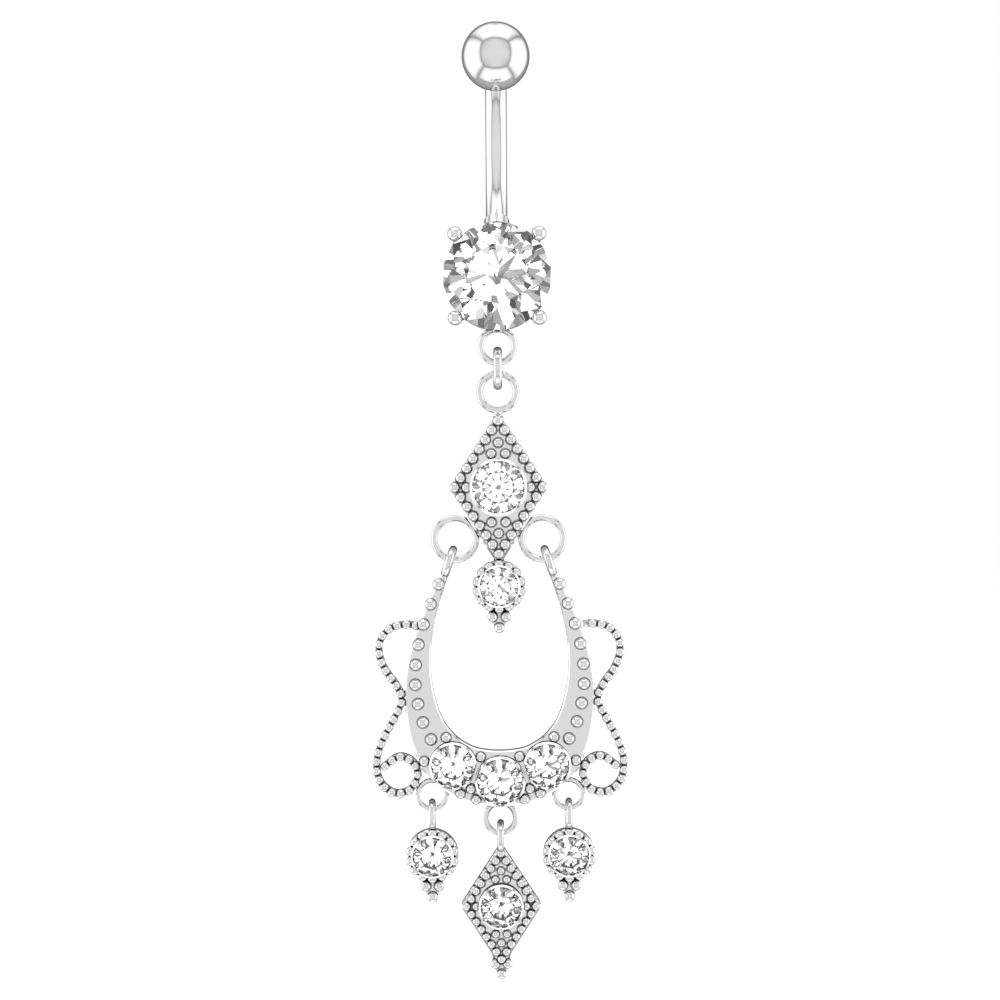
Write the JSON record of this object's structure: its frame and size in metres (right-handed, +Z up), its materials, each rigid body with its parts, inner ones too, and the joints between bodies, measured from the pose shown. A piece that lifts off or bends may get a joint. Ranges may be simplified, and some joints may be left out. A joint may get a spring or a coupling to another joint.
{
  "type": "navel ring",
  "caption": "Curved bar for a navel piercing with a claw-set round stone, and a beaded lozenge, open crescent and small drops hanging below it in hinged stages",
  "frame": {"origin": "middle of the curved bar, where it lies in the piercing", "axes": "+Z up along the bar's chord, +X to the right as the wearer is seen from the front, the stones face -Y"},
  "size_m": [0.019, 0.0063, 0.0704],
  "materials": {
    "polished_steel": "mirror-polished surgical steel",
    "bright_casting": "bright plated casting, polished",
    "clear_stone": "colourless faceted zirconia"
  },
  "bodies": {
    "bar": {"barbell": "polished_steel", "main_stone": "clear_stone"},
    "ball": {"top_ball": "polished_steel"},
    "link": {"connector_link": "bright_casting"},
    "lozenge": {"lozenge_panel": "bright_casting", "lozenge_stone": "clear_stone", "halo_stone": "clear_stone"},
    "crescent": {"crescent_frame": "bright_casting", "crescent_stone_left": "clear_stone", "crescent_stone_middle": "clear_stone", "crescent_stone_right": "clear_stone", "drop_left": "bright_casting", "drop_left_stone": "clear_stone", "drop_middle": "bright_casting", "drop_middle_stone": "clear_stone", "drop_right": "bright_casting", "drop_right_stone": "clear_stone"}
  },
  "joints": [
    {"name": "ball_off", "type": "slide", "parent": "bar", "child": "ball", "axis": [0, -0.5823, 0.8129], "range_m": [0, 0.004]},
    {"name": "link_swing", "type": "hinge", "parent": "bar", "child": "link", "pos_m": [0, -0.00159, -0.01548], "axis": [1, 0, 0], "range_deg": [-75, 75]},
    {"name": "pendant_swing", "type": "hinge", "parent": "link", "child": "lozenge", "pos_m": [0, -0.00159, -0.01704], "axis": [0, 1, 0], "range_deg": [-45, 45]},
    {"name": "frame_swing", "type": "hinge", "parent": "lozenge", "child": "crescent", "pos_m": [0, -0.00159, -0.03001], "axis": [1, 0, 0], "range_deg": [-75, 75]}
  ]
}
